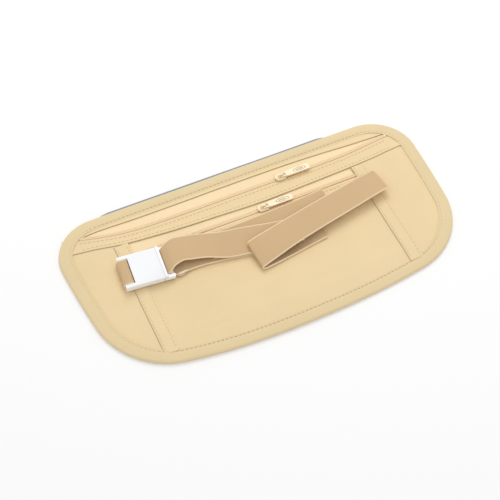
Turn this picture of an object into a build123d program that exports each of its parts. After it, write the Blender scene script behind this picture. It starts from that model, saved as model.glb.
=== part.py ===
from build123d import *
import os

# A flat travel money belt: a zipped two-pocket pouch of thin cloth, with an elastic waist strap
# that is folded up on its front and a two-piece plastic buckle.
# +X runs along the pouch, +Y towards its zipped top edge, +Z out of its front. The origin is on
# the back, in the middle of the pouch. Millimetres.

os.makedirs("parts", exist_ok=True)

# ---- pouch outline ----
pouch_length = 270.0
pouch_height = 140.2
side_taper = 5.3           # how much nearer the middle a side's lower end is than its upper end
top_corner_radius = 32.0
bottom_corner_radius = 52.0
bottom_bulge = 12.0        # the bottom edge sags this far below its ends
back_peek = 0.8            # the back panel shows this far past the top edge
back_peek_length = 155.0
back_peek_x = -13.0
outline_y = -back_peek / 2  # with the peek, the whole is centred on the origin
pouch_top = outline_y + pouch_height / 2

# ---- layers, from the back to the front ----
cloth = 0.6
rear_pocket_gap = 0.4
divider_thickness = 0.4
front_pocket_gap = 1.8
tape_thickness = 0.5
binding_width = 9.5
binding_play = 0.3         # from the binding's wall to the edges of the cloth that it holds

back_top = cloth
divider_base = back_top + rear_pocket_gap
divider_top = divider_base + divider_thickness
front_base = divider_top + front_pocket_gap
front_top = front_base + cloth
strip_top = front_top + cloth
tape_base = front_base - tape_thickness

# ---- zips ----
coil_width = 1.25
coil_height = 1.0
coil_half_gap = 0.45       # from the zip's middle line to each coil
tape_width = 14.0
trimmed_tape_width = 5.0   # the upper zip's lower tape, cut back under the middle strip
fold_clearance = 0.3       # from a coil to the folded cloth beside it
coil_outer = coil_half_gap + coil_width

upper_zip_drop = 22.4      # from the pouch's top edge down to the upper zip's line
upper_zip_y = pouch_top - upper_zip_drop
upper_zip_left = -pouch_length / 2 + 33.0
upper_zip_right = pouch_length / 2 - 27.0
upper_tape_reach = 22.0    # the upper zip's tapes run on past its coils, into the binding
upper_fold_drop = 10.0     # from the upper zip's line up to the fold of the top strip

zip_spacing = 20.4         # between the lines of the two zips
lower_zip_y = upper_zip_y - zip_spacing
lower_tape_reach = 10.0    # the lower zip's tapes end under the seam strips
stop_length = 1.6
stop_clearance = 0.3       # from a stop to the seam strip beside it

middle_fold_x = 25.0       # lowest point of the middle strip's curved lower fold
middle_fold_y = lower_zip_y + 6.1
middle_fold_radius = 943.0
fold_step = 0.2            # from the middle strip's fold to the panels that it lies against

# ---- sliders and pulls ----
slider_length = 8.6
slider_width = 6.2
slider_plate = 0.8
slider_under_plate = 0.6
running_clearance = 0.3
post_length = 2.4
bridge_width = 1.4
bridge_opening = 2.6
bridge_leg = 1.0
bridge_height = 1.3
bridge_roof = 0.7
pull_bar_radius = 0.4
pull_arm_width = 0.9
pull_arm_gap = 0.35
pull_thickness = 0.8
pull_length = 22.5
pull_width = 5.0
pull_neck_width = 4.4
pull_window = 3.6
upper_slider_x = 33.0
lower_slider_x = 10.0

# ---- seam strips ----
strip_width = 10.0
left_strip_x = -pouch_length / 2 + 43.0
right_strip_x = pouch_length / 2 - 48.0
lower_zip_left = left_strip_x + strip_width / 2 + stop_clearance + stop_length
lower_zip_right = right_strip_x - strip_width / 2 - stop_clearance - stop_length

# ---- webbing ----
webbing_width = 20.0
webbing_thickness = 1.0
webbing_gap = 0.3          # between layers that lie on each other
webbing_play = 0.4         # round the plug half's bar
tab_play = 0.3             # round the socket half's bar
loop_slack = 0.3           # more room where the strap turns round the plug half's bar
soft_bend = 8.0            # bend radii of the webbing where it slopes and turns
rise_bend = 4.0
low_bend = 3.0
tab_bend = 1.5
tab_end_bend = 1.2
turn_margin = 0.05         # a full turn's bend radius is this much less than half its height
fold_margin = 0.02

# ---- buckle ----
buckle_x = left_strip_x + 5.5
buckle_y = lower_zip_y - 15.4
buckle_angle = -5.5
socket_lift = 0.1          # from the tab's tail to the underside of the socket half
rail_width = 2.6
side_play = 0.6            # between a rail and the webbing's edge
socket_length = 29.2
socket_height = 4.0
socket_plate = 1.1
socket_floor = 0.7
socket_tongue_play = 0.3
tab_bar_width = 2.4
tab_bar_height = 1.4
tab_slot = 3.4
lip_width = 2.2
lip_rise = 0.7
arm_reach = 5.2            # how far the plug half stands out of the socket half
plug_beam = 1.6
tongue_length = 13.0
tongue_width = 15.0
plug_bar_width = 2.4
plug_bar_height = 1.3
plug_bar_inset = 0.8       # from the ends of the arms to the bar
arm_height = 2.6
rail_step = 2.7            # the rails stop this far short of the lip's edge

# ---- folded strap ----
strap_angle = 11.8         # of the folded bundle on the front
run_angle = -6.5           # of the run between the buckle and the bundle
bundle_left = (buckle_x + 73.5, buckle_y - 21.4)
bundle_length = 107.6
lower_run_angle = 2.7
lower_run_right = (buckle_x + 139.5, buckle_y + 1.5)
lower_run_length = 82.8
free_end_at = 53.0
hidden_start = 30.0
hidden_rise_start = 54.0
hidden_rise_end = 60.0
sewn_end_start = 70.0
sewn_end_length = 36.0
upper_run_length = 81.0
upper_run_slope_start = 14.0
upper_run_slope_end = 34.0
under_run_length = 37.0
under_run_slope_start = 3.0
under_run_slope_end = 11.0


def save(shape, node):
    """Writes one sub-part under its own name."""
    export_step(Compound(children=list(shape.solids()), label=node), f"parts/{node}.step")


def slab(face, base, top):
    """A flat sheet of the face's shape between two heights."""
    return Pos(0, 0, base) * extrude(face, amount=top - base)


def block(x_low, x_high, y_low, y_high, z_low, z_high):
    """A box from its two corners."""
    centre = Pos((x_low + x_high) / 2, (y_low + y_high) / 2, (z_low + z_high) / 2)
    return centre * Box(x_high - x_low, y_high - y_low, z_high - z_low)


def pouch_face(inset=0.0):
    """The pouch's outline, moved inwards by the inset."""
    top = outline_y + pouch_height / 2 - inset
    low = outline_y - pouch_height / 2 + bottom_bulge + inset
    bulge = bottom_bulge
    half_top = pouch_length / 2 + side_taper / 4 - inset
    half_low = half_top - side_taper
    edges = [
        Line((-half_top, top), (half_top, top)),
        Line((half_top, top), (half_low, low)),
        ThreePointArc((half_low, low), (0, low - bulge), (-half_low, low)),
        Line((-half_low, low), (-half_top, top)),
    ]
    face = make_face(Wire(edges))
    low_corners = [v for v in face.vertices() if v.Y < 0]
    face = fillet(low_corners, bottom_corner_radius - inset)
    top_corners = face.vertices().group_by(Axis.Y)[-1]
    return fillet(top_corners, top_corner_radius - inset)


def band(y_low, y_high, x_low=-pouch_length, x_high=pouch_length):
    """A flat rectangle that cuts a panel out of the outline."""
    return Pos((x_low + x_high) / 2, (y_low + y_high) / 2) * Rectangle(x_high - x_low, y_high - y_low)


def above_middle_fold(step=0.0):
    """Everything on the upper side of the middle strip's curved lower fold, or a step below it."""
    return Pos(middle_fold_x, middle_fold_y + middle_fold_radius) * Circle(middle_fold_radius + step)


# ---- cloth ----
cloth_edge = cloth + binding_play
outline = pouch_face()
inner_outline = pouch_face(cloth_edge)

peek_y = pouch_top + back_peek - top_corner_radius / 2
peek = Pos(back_peek_x, peek_y) * Rectangle(back_peek_length, top_corner_radius)
back_panel = slab(outline + peek, 0, back_top)
divider_panel = slab(inner_outline, divider_base, divider_top)

binding_wall = slab(outline - pouch_face(cloth), back_top, front_top)
binding_cover = slab(outline - pouch_face(binding_width), front_top, strip_top)
edge_binding = binding_wall + binding_cover

upper_fold_y = upper_zip_y + upper_fold_drop
top_strip = slab(inner_outline & band(upper_fold_y, pouch_height), front_base, front_top)

middle_top_y = upper_zip_y - coil_outer - fold_clearance
middle_face = inner_outline & band(-pouch_height, middle_top_y) & above_middle_fold()
middle_strip = slab(middle_face, front_base, front_top)
lower_half = (inner_outline & band(-pouch_height, middle_top_y)) - above_middle_fold(fold_step)

centre_top_y = lower_zip_y - coil_outer - fold_clearance
centre_face = inner_outline & band(-pouch_height, centre_top_y, left_strip_x, right_strip_x)
centre_front_panel = slab(centre_face, front_base, front_top)
left_face = lower_half & band(-pouch_height, pouch_height, -pouch_length, left_strip_x)
left_front_panel = slab(left_face, front_base, front_top)
right_face = lower_half & band(-pouch_height, pouch_height, right_strip_x, pouch_length)
right_front_panel = slab(right_face, front_base, front_top)

strip_area = pouch_face(binding_width + binding_play)


def seam_strip(x):
    """An upright strip over the seam between two front panels."""
    face = strip_area & band(-pouch_height, pouch_height, x - strip_width / 2, x + strip_width / 2)
    return slab(face - above_middle_fold(fold_step), front_top, strip_top)


left_seam_strip = seam_strip(left_strip_x)
right_seam_strip = seam_strip(right_strip_x)


# ---- zips ----
coil_top = front_base + coil_height


def zip_side(y, side, left, right, width, reach):
    """The tape and the coil on one side of a zip's middle line."""
    near = y + side * coil_half_gap
    tape_low, tape_high = sorted((near, near + side * width))
    coil_low, coil_high = sorted((near, near + side * coil_width))
    tape_face = inner_outline & band(tape_low, tape_high, left - reach, right + reach)
    tape = slab(tape_face, tape_base, front_base)
    coil = block(left, right, coil_low, coil_high, front_base, coil_top)
    return tape, coil


def end_stops(y, left, right):
    """The two stops that end a zip's coils."""
    low, high = y - coil_outer, y + coil_outer
    first = block(left - stop_length, left, low, high, front_base, coil_top)
    last = block(right, right + stop_length, low, high, front_base, coil_top)
    return first + last


slider_base = coil_top + running_clearance
slider_top = slider_base + slider_plate
under_top = tape_base - running_clearance
pull_axis_z = slider_top + bridge_height / 2


def slider(x, y):
    """A slider: two plates joined by a post between the coils, and a bridge for its pull."""
    half_width = slider_width / 2
    plate = block(x - slider_length / 2, x + slider_length / 2, y - half_width, y + half_width,
                  slider_base, slider_top)
    plate = fillet(plate.edges().filter_by(Axis.Z), slider_width / 3)
    under = block(x - slider_length / 2, x + slider_length / 2, y - half_width, y + half_width,
                  under_top - slider_under_plate, under_top)
    under = fillet(under.edges().filter_by(Axis.Z), slider_width / 3)
    post_half = coil_half_gap - running_clearance
    post = block(x - post_length / 2, x + post_length / 2, y - post_half, y + post_half,
                 under_top, slider_base)
    inner = bridge_opening / 2
    outer = inner + bridge_leg
    roof_base = slider_top + bridge_height
    bridge = block(x - outer, x + outer, y - bridge_width / 2, y + bridge_width / 2,
                   slider_top, roof_base + bridge_roof)
    top_edges = bridge.edges().filter_by(Axis.Y).group_by(Axis.Z)[-1]
    bridge = fillet(top_edges, bridge_roof * 0.9)
    bridge -= block(x - inner, x + inner, y - bridge_width, y + bridge_width, slider_top, roof_base)
    return plate + under + post + bridge


def pull(x, y):
    """A flat pull tab whose cross bar lies under the slider's bridge."""
    arm_low = bridge_width / 2 + pull_arm_gap
    arm_high = arm_low + pull_arm_width
    half = pull_thickness / 2
    bar = Pos(x, y, pull_axis_z) * Rot(90, 0, 0) * Cylinder(pull_bar_radius, 2 * arm_high)
    tab = make_face(Polyline(
        (x + pull_window, y - pull_neck_width / 2),
        (x + pull_length, y - pull_width / 2),
        (x + pull_length, y + pull_width / 2),
        (x + pull_window, y + pull_neck_width / 2),
        close=True,
    ))
    tab = fillet(tab.vertices(), pull_width / 4)
    tab = slab(tab, pull_axis_z - half, pull_axis_z + half)
    arms = [
        block(x, x + pull_window + pull_width / 4, *sorted((y + side * arm_low, y + side * arm_high)),
              pull_axis_z - half, pull_axis_z + half)
        for side in (-1, 1)
    ]
    return bar + tab + arms[0] + arms[1]


def save_zip(name, y, left, right, slider_x, lower_tape_width, reach):
    """Writes the seven pieces of one zip."""
    for side, word, width in ((1, "upper", tape_width), (-1, "lower", lower_tape_width)):
        tape, coil = zip_side(y, side, left, right, width, reach)
        save(tape, f"{name}_zip_{word}_tape")
        save(coil, f"{name}_zip_{word}_coil")
    save(end_stops(y, left, right), f"{name}_zip_end_stops")
    save(slider(slider_x, y), f"{name}_zip_slider")
    save(pull(slider_x, y), f"{name}_zip_pull")


# ---- buckle ----
at_buckle = Pos(buckle_x, buckle_y) * Rot(0, 0, buckle_angle)
inner_half = webbing_width / 2 + side_play
outer_half = inner_half + rail_width
socket_left = -socket_length / 2
socket_right = socket_length / 2
socket_base = strip_top + webbing_thickness + socket_lift
socket_top = socket_base + socket_height
plate_base = socket_top - socket_plate
floor_top = socket_base + socket_floor
rail_right = socket_right - rail_step
tongue_base = floor_top + socket_tongue_play
tongue_top = plate_base - socket_tongue_play
bar_middle = (socket_base + socket_top) / 2
tab_bar_left = socket_left + webbing_thickness + tab_play
plate_left = tab_bar_left + tab_bar_width + tab_slot


def socket_half():
    """The half with the broad top plate: the plug half's tongue slides in under the plate."""
    rails = block(socket_left, rail_right, inner_half, outer_half, socket_base, socket_top)
    rails = fillet(rails.edges().filter_by(Axis.Z).group_by(Axis.X)[0], rail_width / 3)
    rails += mirror(rails, Plane.XZ)
    plate = block(plate_left, socket_right, -outer_half, outer_half, plate_base, socket_top)
    lip = block(socket_right - lip_width, socket_right, -outer_half, outer_half,
                plate_base, socket_top + lip_rise)
    lip = fillet(lip.edges().filter_by(Axis.Y).group_by(Axis.Z)[-1], lip_rise * 0.8)
    floor = block(plate_left, rail_right, -inner_half, inner_half, socket_base, floor_top)
    bar = block(tab_bar_left, tab_bar_left + tab_bar_width, -inner_half, inner_half,
                bar_middle - tab_bar_height / 2, bar_middle + tab_bar_height / 2)
    bar = fillet(bar.edges().filter_by(Axis.Y), tab_bar_height / 3)
    return rails + plate + lip + floor + bar


plug_left = rail_right + socket_tongue_play
plug_right = socket_right + arm_reach
arm_top = tongue_top
arm_base = arm_top - arm_height
plug_bar_top = arm_top
plug_bar_right = plug_right - plug_bar_inset
plug_bar_middle = plug_bar_right - plug_bar_width / 2


def plug_half():
    """The half with the tongue: two arms carry the bar that the long strap goes round."""
    arm = block(plug_left, plug_right, inner_half, outer_half, arm_base, arm_top)
    arm = fillet(arm.edges().filter_by(Axis.Z).group_by(Axis.X)[-1], rail_width / 3)
    arms = arm + mirror(arm, Plane.XZ)
    beam = block(plug_left, plug_left + plug_beam, -outer_half, outer_half, tongue_base, tongue_top)
    tongue = block(plug_left - tongue_length, plug_left, -tongue_width / 2, tongue_width / 2,
                   tongue_base, tongue_top)
    tongue = fillet(tongue.edges().filter_by(Axis.Z).group_by(Axis.X)[0], tongue_width / 6)
    bar = block(plug_bar_right - plug_bar_width, plug_bar_right, -inner_half, inner_half,
                plug_bar_top - plug_bar_height, plug_bar_top)
    bar = fillet(bar.edges().filter_by(Axis.Y), plug_bar_height / 3)
    return arms + beam + tongue + bar


# ---- webbing ----
def webbing(place, points, radii):
    """A strap of the webbing's width whose side view follows the points (run, height)."""
    line = FilletPolyline(*points, radius=radii)
    side_view = trace(line, line_width=webbing_thickness)
    upright = place * Rot(90, 0, 0)
    return upright * extrude(side_view, amount=webbing_width / 2, both=True)


half_web = webbing_thickness / 2
tab_tail_level = strip_top + half_web
tab_top_level = bar_middle + tab_bar_height / 2 + tab_play + half_web
tab_left = tab_bar_left - tab_play - half_web
tab_right = tab_bar_left + tab_bar_width + tab_play + half_web
tab_end = plate_left + strip_width / 2
buckle_tab = webbing(
    at_buckle,
    [(tab_end, tab_tail_level), (tab_left, tab_tail_level), (tab_left, tab_top_level),
     (tab_right, tab_top_level), (tab_right, tab_tail_level + half_web + tab_play)],
    [tab_bend, tab_bend, tab_end_bend],
)

layer = webbing_thickness + webbing_gap
level_one = front_top + webbing_gap + half_web
level_two = level_one + layer
level_three = level_two + layer
level_four = level_three + layer
level_five = level_four + layer

bar_place = at_buckle * Pos(plug_bar_middle, 0)
run_place = Pos(bar_place.position.X, bar_place.position.Y) * Rot(0, 0, run_angle)
over_bar = plug_bar_top + webbing_play + half_web
under_bar = plug_bar_top - plug_bar_height - webbing_play - half_web
loop_left = -plug_bar_width / 2 - webbing_play - half_web - loop_slack
loop_radius = (over_bar - under_bar) / 2 - turn_margin
strap_buckle_run = webbing(
    run_place,
    [(upper_run_length, level_two), (upper_run_slope_end, level_two),
     (upper_run_slope_start, over_bar), (loop_left, over_bar), (loop_left, under_bar),
     (under_run_slope_start, under_bar), (under_run_slope_end, level_one),
     (under_run_length, level_one)],
    [soft_bend, soft_bend, loop_radius, loop_radius, low_bend, low_bend],
)

lower_place = Pos(*lower_run_right) * Rot(0, 0, lower_run_angle)
strap_lower_run = lower_place * block(
    -lower_run_length, 0, -webbing_width / 2, webbing_width / 2,
    level_one - half_web, level_one + half_web)

bundle_place = Pos(*bundle_left) * Rot(0, 0, strap_angle)
left_bend = (level_five - level_three) / 2 - fold_margin
right_bend = (level_five - level_four) / 2 - fold_margin
strap_folded_bundle = webbing(
    bundle_place,
    [(hidden_start, level_two), (hidden_rise_start, level_two), (hidden_rise_end, level_four),
     (bundle_length + half_web, level_four), (bundle_length + half_web, level_five),
     (half_web, level_five), (half_web, level_three), (free_end_at, level_three)],
    [rise_bend, rise_bend, right_bend, right_bend, left_bend, left_bend],
)

strap_sewn_end = bundle_place * block(
    sewn_end_start, sewn_end_start + sewn_end_length, -webbing_width / 2, webbing_width / 2,
    strip_top, strip_top + webbing_thickness)

# ---- write the sub-parts ----
save(back_panel, "back_panel")
save(divider_panel, "divider_panel")
save(edge_binding, "edge_binding")
save(top_strip, "top_strip")
save(middle_strip, "middle_strip")
save(centre_front_panel, "centre_front_panel")
save(left_front_panel, "left_front_panel")
save(right_front_panel, "right_front_panel")
save(left_seam_strip, "left_seam_strip")
save(right_seam_strip, "right_seam_strip")
save_zip("upper", upper_zip_y, upper_zip_left, upper_zip_right, upper_slider_x,
         trimmed_tape_width, upper_tape_reach)
save_zip("lower", lower_zip_y, lower_zip_left, lower_zip_right, lower_slider_x,
         tape_width, lower_tape_reach)
save(at_buckle * socket_half(), "buckle_socket_half")
save(at_buckle * plug_half(), "buckle_plug_half")
save(buckle_tab, "buckle_tab")
save(strap_buckle_run, "strap_buckle_run")
save(strap_lower_run, "strap_lower_run")
save(strap_folded_bundle, "strap_folded_bundle")
save(strap_sewn_end, "strap_sewn_end")
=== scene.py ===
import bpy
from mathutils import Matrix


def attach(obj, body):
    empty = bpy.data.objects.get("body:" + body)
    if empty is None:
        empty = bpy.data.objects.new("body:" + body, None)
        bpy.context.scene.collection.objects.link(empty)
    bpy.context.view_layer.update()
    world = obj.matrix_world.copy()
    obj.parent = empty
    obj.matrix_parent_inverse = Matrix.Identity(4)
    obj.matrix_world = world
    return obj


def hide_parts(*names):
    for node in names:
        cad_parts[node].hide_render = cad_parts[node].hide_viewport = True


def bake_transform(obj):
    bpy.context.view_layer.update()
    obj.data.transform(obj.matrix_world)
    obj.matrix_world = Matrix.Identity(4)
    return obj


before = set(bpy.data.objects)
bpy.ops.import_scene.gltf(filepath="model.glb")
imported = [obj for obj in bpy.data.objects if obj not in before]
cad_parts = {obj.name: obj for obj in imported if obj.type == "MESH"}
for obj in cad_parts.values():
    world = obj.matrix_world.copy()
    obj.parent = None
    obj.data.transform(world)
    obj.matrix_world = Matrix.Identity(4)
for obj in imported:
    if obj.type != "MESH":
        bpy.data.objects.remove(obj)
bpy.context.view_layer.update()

import logging
from dataclasses import dataclass
from enum import Enum
from typing import Callable, Optional, Sequence

import bmesh
import bpy
import numpy as np
from mathutils import Vector

# A flat travel money belt: a zipped pouch of thin cloth, an elastic strap folded up on its front
# and a white clip buckle. Sizes are in millimetres until a mesh is made, in the frame's own axes.

log = logging.getLogger("money_belt")
MM = 0.001
TAU = 2 * np.pi
LOWER_ZIP_Y = 26.9
STRAP_WIDTH = 20.0
OUTSIDE = 0.1  # how far past the webbing's width the texture goes round its edge


# ---- surfaces ------------------------------------------------------------------------------

def smooth_line(points: Sequence[Sequence[float]], step: float, width: int = 3) -> np.ndarray:
    """A smooth line through given points, with samples a step apart.

    Each stretch is a cubic whose slope at a point is that of the parabola through the point and
    its two neighbours, with the distance between the points' centres as the parameter.

    Args:
        points: Rows of coordinates; several lines may stand side by side in one row.
        step: Distance between samples.
        width: Coordinates of one line in a row, for the distances.

    Returns:
        An array of samples with as many columns as the points have.
    """
    knots = np.asarray(points, float)
    lines = knots.reshape(len(knots), -1, width).mean(axis=1)
    gaps = np.linalg.norm(np.diff(lines, axis=0), axis=1)
    at = np.concatenate([[0.0], np.cumsum(gaps)])
    slopes = np.diff(knots, axis=0) / gaps[:, None]
    tangents = np.vstack([slopes[:1], slopes[-1:]])
    if len(knots) > 2:
        before, after = gaps[:-1, None], gaps[1:, None]
        inner = (after * slopes[:-1] + before * slopes[1:]) / (before + after)
        tangents = np.vstack([slopes[:1], inner, slopes[-1:]])
    samples = np.linspace(0.0, at[-1], int(np.ceil(at[-1] / step)) + 1)
    k = np.clip(np.searchsorted(at, samples, side="right") - 1, 0, len(gaps) - 1)
    h = gaps[k][:, None]
    u = ((samples - at[k]) / gaps[k])[:, None]
    return ((2 * u**3 - 3 * u**2 + 1) * knots[k] + (u**3 - 2 * u**2 + u) * h * tangents[k]
            + (3 * u**2 - 2 * u**3) * knots[k + 1] + (u**3 - u**2) * h * tangents[k + 1])


def curve_of(points: Sequence[Sequence[float]]) -> Callable[[np.ndarray], np.ndarray]:
    """A smooth height over x through given (x, y) points, as a function of an array of x."""
    line = smooth_line(points, 1.0, 2)
    return lambda x: np.interp(x, line[:, 0], line[:, 1])


def ramp(value: np.ndarray, low: float, high: float) -> np.ndarray:
    """0 below low and 1 above high, with a smooth S between: 3t^2 - 2t^3."""
    t = np.clip((value - low) / (high - low), 0.0, 1.0)
    return t * t * (3 - 2 * t)


def unit(vectors: np.ndarray) -> np.ndarray:
    """The vectors with length 1."""
    return vectors / np.maximum(np.linalg.norm(vectors, axis=-1, keepdims=True), 1e-9)


class Shell:
    """Gathers closed surfaces, worked out as grids, and makes them one mesh object."""

    def __init__(self) -> None:
        """Starts empty."""
        self.points: list[np.ndarray] = []
        self.corners: list[np.ndarray] = []
        self.uvs: list[np.ndarray] = []
        self.sizes: list[np.ndarray] = []
        self.inside: list[np.ndarray] = []
        self.count = 0

    def _faces(self, index: np.ndarray, uv: np.ndarray) -> None:
        """Adds faces of equal size: rows of point numbers with each corner's UV."""
        self.corners.append(index.ravel())
        self.uvs.append(uv.reshape(-1, 2))
        self.sizes.append(np.full(len(index), index.shape[1]))

    def _points(self, points: np.ndarray, inside: Optional[np.ndarray] = None) -> int:
        """Adds points and returns the number of the first."""
        first = self.count
        self.points.append(points.reshape(-1, 3))
        flags = np.zeros(len(self.points[-1])) if inside is None else inside.ravel()
        self.inside.append(flags)
        self.count += len(self.points[-1])
        return first

    def tube(self, rings: np.ndarray, along: Optional[np.ndarray] = None,
             around: Optional[np.ndarray] = None, loop: bool = False,
             inside: Optional[np.ndarray] = None) -> None:
        """A skin over rings of points, closed at its ends by fans, or a closed loop.

        Args:
            rings: Array (rings, points in a ring, 3).
            along: UV u of each ring, one more than the rings for a loop.
            around: UV v of each point, with one more than the points for the closing edge.
            loop: The last ring joins the first.
            inside: The share of a darker colour each point of a ring takes, mostly painted shade in
                folds.
        """
        n, m = rings.shape[:2]
        along = np.arange(n + loop, dtype=float) if along is None else along
        around = np.arange(m + 1, dtype=float) if around is None else around
        flags = None if inside is None else np.broadcast_to(inside, (n, m))
        first = self._points(rings, flags)
        i, j = np.meshgrid(np.arange(n if loop else n - 1), np.arange(m), indexing="ij")
        steps = ((0, 0), (1, 0), (1, 1), (0, 1))
        index = np.stack([first + (i + a) % n * m + (j + b) % m for a, b in steps], -1)
        uv = np.stack([np.stack([along[i + a], around[j + b]], -1) for a, b in steps], -2)
        self._faces(index.reshape(-1, 4), uv.reshape(-1, 4, 2))
        if loop:
            return
        for row, turn in ((0, 1), (n - 1, -1)):
            pole = self._points(rings[row].mean(axis=0))
            j = np.arange(m)[::turn]
            after = (j + 1) % m
            low, high = (j, after) if turn > 0 else (after, j)
            index = np.stack([np.full(m, pole), first + row * m + low, first + row * m + high], -1)
            uv = np.stack([np.full((m, 3), along[row]),
                           np.stack([around[:m], around[:m], around[1:]], -1)], -1)
            self._faces(index, uv)

    def finish(self, name: str, material: bpy.types.Material) -> bpy.types.Object:
        """Makes the mesh object, with UVs, smooth faces and outward normals.

        Args:
            name: The object's name.
            material: Its material.

        Returns:
            The object, at the origin.
        """
        points = np.concatenate(self.points) * MM
        corners = np.concatenate(self.corners).astype(np.int32)
        sizes = np.concatenate(self.sizes).astype(np.int32)
        starts = np.concatenate([[0], np.cumsum(sizes)[:-1]]).astype(np.int32)
        mesh = bpy.data.meshes.new(name)
        mesh.vertices.add(len(points))
        mesh.vertices.foreach_set("co", points.ravel())
        mesh.loops.add(len(corners))
        mesh.loops.foreach_set("vertex_index", corners)
        mesh.polygons.add(len(sizes))
        mesh.polygons.foreach_set("loop_start", starts)
        mesh.uv_layers.new(name="UVMap").data.foreach_set(
            "uv", (np.concatenate(self.uvs) * MM).ravel())
        mesh.update(calc_edges=True)
        mesh.validate()
        # The inside attribute holds each point's share of a darker colour, mostly painted shade in
        # folds.
        attribute = mesh.attributes.new("inside", "FLOAT", "POINT")
        attribute.data.foreach_set("value", np.concatenate(self.inside).astype(np.float32))
        outward(mesh)
        mesh.shade_smooth()
        return place(name, mesh, material)


def outward(mesh: bpy.types.Mesh) -> None:
    """Turns every face of closed shells outwards."""
    shape = bmesh.new()
    shape.from_mesh(mesh)
    bmesh.ops.recalc_face_normals(shape, faces=shape.faces)
    shape.to_mesh(mesh)
    shape.free()


def place(name: str, mesh: bpy.types.Mesh, material: bpy.types.Material) -> bpy.types.Object:
    """Puts a mesh into the scene under a name, with one material."""
    mesh.materials.clear()
    mesh.materials.append(material)
    piece = bpy.data.objects.new(name, mesh)
    bpy.context.scene.collection.objects.link(piece)
    return piece


def assign(piece: bpy.types.Object, body: str, node: str) -> None:
    """Says which body a piece rides on and hides the CAD node that it replaces."""
    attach(piece, body)
    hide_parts(node)


# ---- finishes ------------------------------------------------------------------------------

class Graph:
    """Adds nodes to a node tree and joins them."""

    def __init__(self, tree: bpy.types.NodeTree) -> None:
        """Works on the given tree."""
        self.tree = tree
        self.material: Optional[bpy.types.Material] = None

    def node(self, kind: str, values: Optional[dict] = None, **settings: object) -> bpy.types.Node:
        """Adds a node.

        Args:
            kind: Its type name.
            values: Numbers, colours or output sockets for its inputs, by input name or number.
            **settings: Attributes of the node.

        Returns:
            The node.
        """
        node = self.tree.nodes.new(kind)
        for key, value in settings.items():
            setattr(node, key, value)
        for key, value in (values or {}).items():
            if isinstance(value, bpy.types.NodeSocket):
                self.tree.links.new(value, node.inputs[key])
            else:
                node.inputs[key].default_value = value
        return node

    def math(self, operation: str, *values: object) -> bpy.types.NodeSocket:
        """One step of arithmetic on sockets or numbers."""
        return self.node("ShaderNodeMath", dict(enumerate(values)), operation=operation).outputs[0]

    def mix(self, share: object, first: object, second: object) -> bpy.types.NodeSocket:
        """A colour between two colours."""
        node = self.node("ShaderNodeMix", {0: share, 6: first, 7: second}, data_type="RGBA")
        return node.outputs[2]

    def dots(self, vector: object, scale: float, detail: float = 2.0) -> bpy.types.NodeSocket:
        """A noise value from 0 to 1 over the vector."""
        return self.node("ShaderNodeTexNoise", {"Vector": vector, "Scale": scale,
                                                "Detail": detail}).outputs[0]

    def scale(self, colour: object, share: object) -> bpy.types.NodeSocket:
        """A colour times a number."""
        return self.node("ShaderNodeVectorMath", {0: colour, "Scale": share},
                         operation="SCALE").outputs[0]

    def shade(self, height: object, amount: float) -> bpy.types.NodeSocket:
        """A factor about 1 that follows a height from 0 to 1: 1 + amount (height - 1/2)."""
        return self.math("MULTIPLY_ADD", height, amount, 1 - amount / 2)

    def parts(self, vector: object) -> Sequence[bpy.types.NodeSocket]:
        """The three parts of a vector."""
        return self.node("ShaderNodeSeparateXYZ", {0: vector}).outputs

    def inside(self) -> bpy.types.NodeSocket:
        """The mesh's own share of its darker colour, 0 to 1, mostly painted shade in folds."""
        return self.node("ShaderNodeAttribute", {}, attribute_name="inside").outputs["Fac"]

    def group(self, tree: bpy.types.NodeTree, *values: object) -> bpy.types.NodeSocket:
        """The output of a shared node group with the given inputs."""
        return self.node("ShaderNodeGroup", dict(enumerate(values)), node_tree=tree).outputs[0]

    def bump(self, height: object, strength: float, distance: float,
             normal: object = None) -> bpy.types.NodeSocket:
        """A normal bent by a height, over a distance in metres."""
        values = {"Height": height, "Strength": strength, "Distance": distance}
        if normal is not None:
            values["Normal"] = normal
        return self.node("ShaderNodeBump", values).outputs[0]


def new_group(name: str, inputs: Sequence[tuple[str, str, float]],
              outputs: Sequence[str]) -> tuple[Graph, bpy.types.Node, bpy.types.Node]:
    """Starts a node group with named sockets.

    Args:
        name: The group's name.
        inputs: Name, socket type and default value of each input.
        outputs: Names of the outputs, which are numbers.

    Returns:
        The group's graph, its input node and its output node.
    """
    tree = bpy.data.node_groups.new(name, "ShaderNodeTree")
    for label, kind, default in inputs:
        socket = tree.interface.new_socket(label, in_out="INPUT", socket_type=kind)
        if kind == "NodeSocketFloat":
            socket.default_value = default
    for label in outputs:
        tree.interface.new_socket(label, in_out="OUTPUT", socket_type="NodeSocketFloat")
    graph = Graph(tree)
    return graph, graph.node("NodeGroupInput"), graph.node("NodeGroupOutput")


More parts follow.
